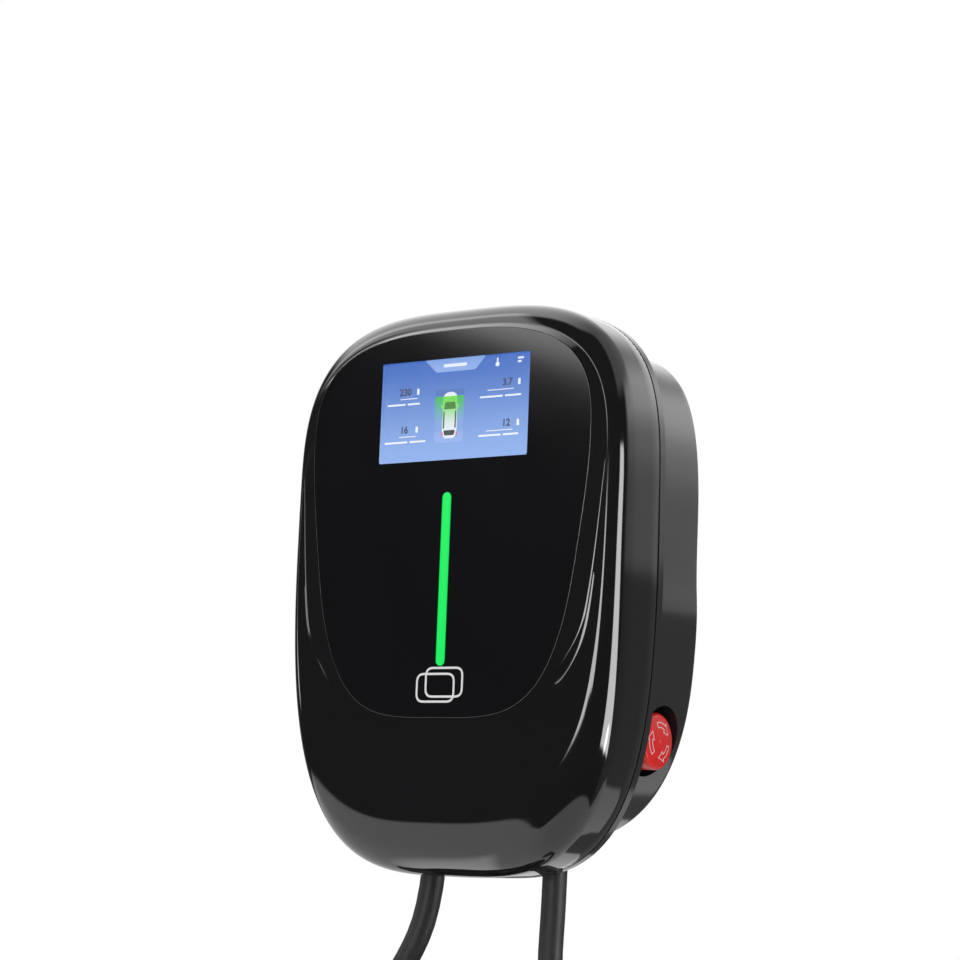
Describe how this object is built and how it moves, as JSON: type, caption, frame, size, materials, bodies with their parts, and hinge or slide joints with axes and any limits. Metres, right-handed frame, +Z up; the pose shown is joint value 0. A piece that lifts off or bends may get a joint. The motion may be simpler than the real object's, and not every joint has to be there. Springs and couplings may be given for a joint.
{
  "type": "ev wallbox",
  "caption": "Wall-hung charger for an electric car: rounded black cover with a screen and a light bar, inset rear case with a stop button, charging cable and supply lead.",
  "frame": {"origin": "centre of the wall bolts, on the wall plane", "axes": "+Z up, +Y into the wall, so the front faces -Y; +X to the right as seen from the front"},
  "size_m": [0.2708, 0.1106, 0.6836],
  "materials": {
    "gloss_shell": "high gloss black moulded plastic",
    "panel_black": "smooth black hard-coated sheet",
    "window": "clear window",
    "screen": "lit screen",
    "light_bar": "lit green light guide",
    "circuit_board": "green board with solder mask",
    "component_black": "moulded component case",
    "component_pale": "pale moulded plastic",
    "seal": "soft sealing rubber",
    "gland": "black nylon",
    "stop_red": "red moulded plastic",
    "bracket_steel": "black powder-coated steel sheet",
    "screw_steel": "plated steel",
    "cable": "black cable sheath",
    "core_wire": "insulated core",
    "tie": "woven hook-and-loop tie",
    "connector": "black moulded plastic"
  },
  "bodies": {
    "housing": {"front_cover": "gloss_shell", "rear_case": "gloss_shell", "front_panel": "panel_black", "display_window": "window", "lcd_module": "screen", "light_guide": "light_bar", "display_board": "circuit_board", "led_board": "circuit_board", "card_reader_board": "circuit_board", "main_board": "circuit_board", "relay_line": "component_black", "relay_neutral": "component_black", "leakage_sensor": "component_black", "estop_contact_block": "component_black", "estop_barrel": "component_black", "power_module": "component_pale", "supply_terminals": "component_pale", "charge_terminals": "component_pale", "cover_gasket": "seal", "estop_gasket": "seal", "supply_gland_seal": "seal", "charge_gland_seal": "seal", "supply_gland_body": "gland", "supply_gland_lock_nut": "gland", "supply_gland_nut": "gland", "charge_gland_body": "gland", "charge_gland_lock_nut": "gland", "charge_gland_nut": "gland", "estop_lock_ring": "gland", "wall_bracket": "bracket_steel", "cover_screws": "screw_steel", "board_screws": "screw_steel", "charge_cable": "cable", "supply_cable": "cable", "charge_tail": "cable", "supply_tail": "cable", "charge_coil": "cable", "supply_coil": "cable", "charge_cores": "core_wire", "supply_cores": "core_wire", "supply_ends": "core_wire", "coil_ties": "tie", "connector_boot": "connector", "connector_grip": "connector", "connector_nose": "connector", "connector_cap": "connector"},
    "estop_plunger": {"estop_stem": "component_pale", "estop_contact_pin": "component_pale"},
    "estop_head": {"estop_cap": "stop_red"}
  },
  "joints": [
    {"name": "estop_push", "type": "slide", "parent": "housing", "child": "estop_plunger", "axis": [-1, 0, 0], "range_m": [0, 0.004], "stiffness_N_per_m": 1500},
    {"name": "estop_twist", "type": "hinge", "parent": "estop_plunger", "child": "estop_head", "pos_m": [0.08, -0.0325, -0.077], "axis": [-1, 0, 0], "range_deg": [0, 45], "stiffness_Nm_per_rad": 0.05}
  ]
}
